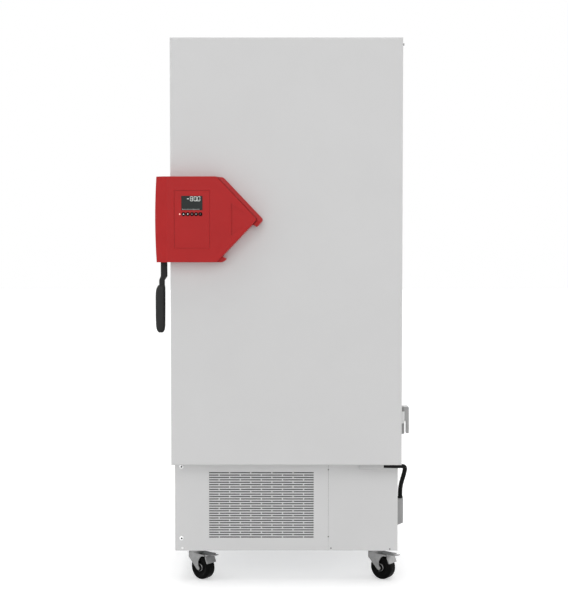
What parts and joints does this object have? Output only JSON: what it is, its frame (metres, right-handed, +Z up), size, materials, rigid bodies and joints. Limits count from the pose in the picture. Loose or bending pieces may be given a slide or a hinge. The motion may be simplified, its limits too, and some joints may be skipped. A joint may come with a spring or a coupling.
{
  "type": "ultra low temperature freezer",
  "caption": "Upright insulated laboratory freezer on casters with a hinged door, an arrow-shaped control pod, a lever latch and a slotted machine base.",
  "frame": {"origin": "on the floor, on the cabinet's centre plane, under the middle of the overall depth", "axes": "+X to the viewer's right, +Y to the rear, +Z up; the door faces -Y"},
  "size_m": [0.9166, 0.9465, 1.967],
  "materials": {
    "cabinet_paint": "fine-grained satin powder coat",
    "foam": "rigid foam and moulded skin",
    "stainless": "brushed",
    "galvanised": "galvanised sheet",
    "zinc": "bright zinc plate",
    "hinge_paint": "satin",
    "striker_steel": "brushed",
    "filter_mat": "coarse mat",
    "fin_aluminium": "mill finish fins",
    "black_plastic": "moulded",
    "black_paint": "gloss",
    "copper": "drawn copper tube",
    "black_rubber": "matt",
    "white_plastic": "moulded",
    "cable_box_grey": "moulded",
    "seal": "soft silicone",
    "pod_red": "satin moulding",
    "display_glass": "gloss window",
    "light_lens": "lens",
    "key_black": "satin",
    "lever_steel": "satin",
    "grip_black": "fine-grained moulding",
    "wheel_black": "moulded tread"
  },
  "bodies": {
    "cabinet": {"side_panel_left": "cabinet_paint", "side_panel_right": "cabinet_paint", "roof_panel": "cabinet_paint", "rear_panel": "cabinet_paint", "front_frame": "cabinet_paint", "front_grille_panel": "cabinet_paint", "front_service_panel": "cabinet_paint", "rear_grille_panel": "cabinet_paint", "body_insulation": "foam", "chamber_liner": "stainless", "shelves": "stainless", "chamber_fittings": "stainless", "base_frame": "galvanised", "electrical_box": "galvanised", "caster_heads": "zinc", "cabinet_hinge_leaves": "hinge_paint", "latch_striker": "striker_steel", "air_filter": "filter_mat", "condenser": "fin_aluminium", "fan_shroud": "black_plastic", "power_inlet": "black_plastic", "compressors": "black_paint", "refrigerant_lines": "copper", "compressor_mounts": "black_rubber", "door_cable_lower": "black_rubber", "access_port": "white_plastic", "cable_box": "cable_box_grey"},
    "door": {"door_skin": "cabinet_paint", "door_insulation": "foam", "door_inner_pan": "cabinet_paint", "door_gasket": "seal", "door_hinge_leaves": "hinge_paint", "pod_housing": "pod_red", "pod_cover": "pod_red", "control_panel": "pod_red", "display": "display_glass", "status_light": "light_lens", "door_cable_upper": "black_rubber", "cable_cover": "cabinet_paint"},
    "handle": {"handle_lever": "lever_steel", "handle_grip": "grip_black"},
    "inner_door_upper": {"inner_door_upper": "foam"},
    "inner_door_lower": {"inner_door_lower": "foam"},
    "condenser_fan": {"condenser_fan": "black_plastic"},
    "main_switch": {"main_switch": "black_plastic"},
    "key_1": {"key_1": "key_black"},
    "key_2": {"key_2": "key_black"},
    "key_3": {"key_3": "key_black"},
    "key_4": {"key_4": "key_black"},
    "key_5": {"key_5": "key_black"},
    "swivel_front_left": {"caster_fork_front_left": "zinc"},
    "wheel_front_left": {"caster_wheel_front_left": "wheel_black"},
    "swivel_front_right": {"caster_fork_front_right": "zinc"},
    "wheel_front_right": {"caster_wheel_front_right": "wheel_black"},
    "swivel_rear_left": {"caster_fork_rear_left": "zinc"},
    "wheel_rear_left": {"caster_wheel_rear_left": "wheel_black"},
    "swivel_rear_right": {"caster_fork_rear_right": "zinc"},
    "wheel_rear_right": {"caster_wheel_rear_right": "wheel_black"},
    "brake_front_left": {"caster_brake_front_left": "zinc"},
    "brake_front_right": {"caster_brake_front_right": "zinc"}
  },
  "joints": [
    {"name": "door_hinge", "type": "hinge", "parent": "cabinet", "child": "door", "pos_m": [0.421, -0.311, 1.2], "axis": [0, 0, 1], "range_deg": [0, 110]},
    {"name": "handle_lever", "type": "hinge", "parent": "door", "child": "handle", "pos_m": [-0.43, -0.363, 1.20335], "axis": [-1, 0, 0], "range_deg": [0, 65]},
    {"name": "inner_door_upper_hinge", "type": "hinge", "parent": "cabinet", "child": "inner_door_upper", "pos_m": [0.285, -0.29, 1.532], "axis": [0, 0, 1], "range_deg": [0, 105]},
    {"name": "inner_door_lower_hinge", "type": "hinge", "parent": "cabinet", "child": "inner_door_lower", "pos_m": [0.285, -0.29, 0.882], "axis": [0, 0, 1], "range_deg": [0, 105]},
    {"name": "key_1_press", "type": "slide", "parent": "door", "child": "key_1", "axis": [0, 1, 0], "range_m": [0, 0.0012], "stiffness_N_per_m": 600},
    {"name": "key_2_press", "type": "slide", "parent": "door", "child": "key_2", "axis": [0, 1, 0], "range_m": [0, 0.0012], "stiffness_N_per_m": 600},
    {"name": "key_3_press", "type": "slide", "parent": "door", "child": "key_3", "axis": [0, 1, 0], "range_m": [0, 0.0012], "stiffness_N_per_m": 600},
    {"name": "key_4_press", "type": "slide", "parent": "door", "child": "key_4", "axis": [0, 1, 0], "range_m": [0, 0.0012], "stiffness_N_per_m": 600},
    {"name": "key_5_press", "type": "slide", "parent": "door", "child": "key_5", "axis": [0, 1, 0], "range_m": [0, 0.0012], "stiffness_N_per_m": 600},
    {"name": "condenser_fan_spin", "type": "hinge", "parent": "cabinet", "child": "condenser_fan", "pos_m": [-0.0915, -0.2165, 0.2872], "axis": [0, 1, 0], "continuous": true},
    {"name": "main_switch_rock", "type": "hinge", "parent": "cabinet", "child": "main_switch", "pos_m": [0.3, 0.465, 0.29], "axis": [1, 0, 0], "range_deg": [0, 9]},
    {"name": "swivel_front_left", "type": "hinge", "parent": "cabinet", "child": "swivel_front_left", "pos_m": [-0.335, -0.228, 0.1], "axis": [0, 0, 1], "continuous": true},
    {"name": "roll_front_left", "type": "hinge", "parent": "swivel_front_left", "child": "wheel_front_left", "pos_m": [-0.30972, -0.24921, 0.0445], "axis": [0.6428, 0.766, 0], "continuous": true},
    {"name": "swivel_front_right", "type": "hinge", "parent": "cabinet", "child": "swivel_front_right", "pos_m": [0.335, -0.228, 0.1], "axis": [0, 0, 1], "continuous": true},
    {"name": "roll_front_right", "type": "hinge", "parent": "swivel_front_right", "child": "wheel_front_right", "pos_m": [0.36028, -0.24921, 0.0445], "axis": [0.6428, 0.766, 0], "continuous": true},
    {"name": "swivel_rear_left", "type": "hinge", "parent": "cabinet", "child": "swivel_rear_left", "pos_m": [-0.335, 0.388, 0.1], "axis": [0, 0, 1], "continuous": true},
    {"name": "roll_rear_left", "type": "hinge", "parent": "swivel_rear_left", "child": "wheel_rear_left", "pos_m": [-0.30972, 0.36679, 0.0445], "axis": [0.6428, 0.766, 0], "continuous": true},
    {"name": "swivel_rear_right", "type": "hinge", "parent": "cabinet", "child": "swivel_rear_right", "pos_m": [0.335, 0.388, 0.1], "axis": [0, 0, 1], "continuous": true},
    {"name": "roll_rear_right", "type": "hinge", "parent": "swivel_rear_right", "child": "wheel_rear_right", "pos_m": [0.36028, 0.36679, 0.0445], "axis": [0.6428, 0.766, 0], "continuous": true},
    {"name": "brake_front_left", "type": "hinge", "parent": "swivel_front_left", "child": "brake_front_left", "pos_m": [-0.29057, -0.26528, 0.0935], "axis": [0.6428, 0.766, 0], "range_deg": [0, 5]},
    {"name": "brake_front_right", "type": "hinge", "parent": "swivel_front_right", "child": "brake_front_right", "pos_m": [0.37943, -0.26528, 0.0935], "axis": [0.6428, 0.766, 0], "range_deg": [0, 5]}
  ],
  "couplings": [
    {"joint": "inner_door_upper_hinge", "follows": "door_hinge", "ratio": 0.95},
    {"joint": "inner_door_lower_hinge", "follows": "door_hinge", "ratio": 0.95}
  ]
}
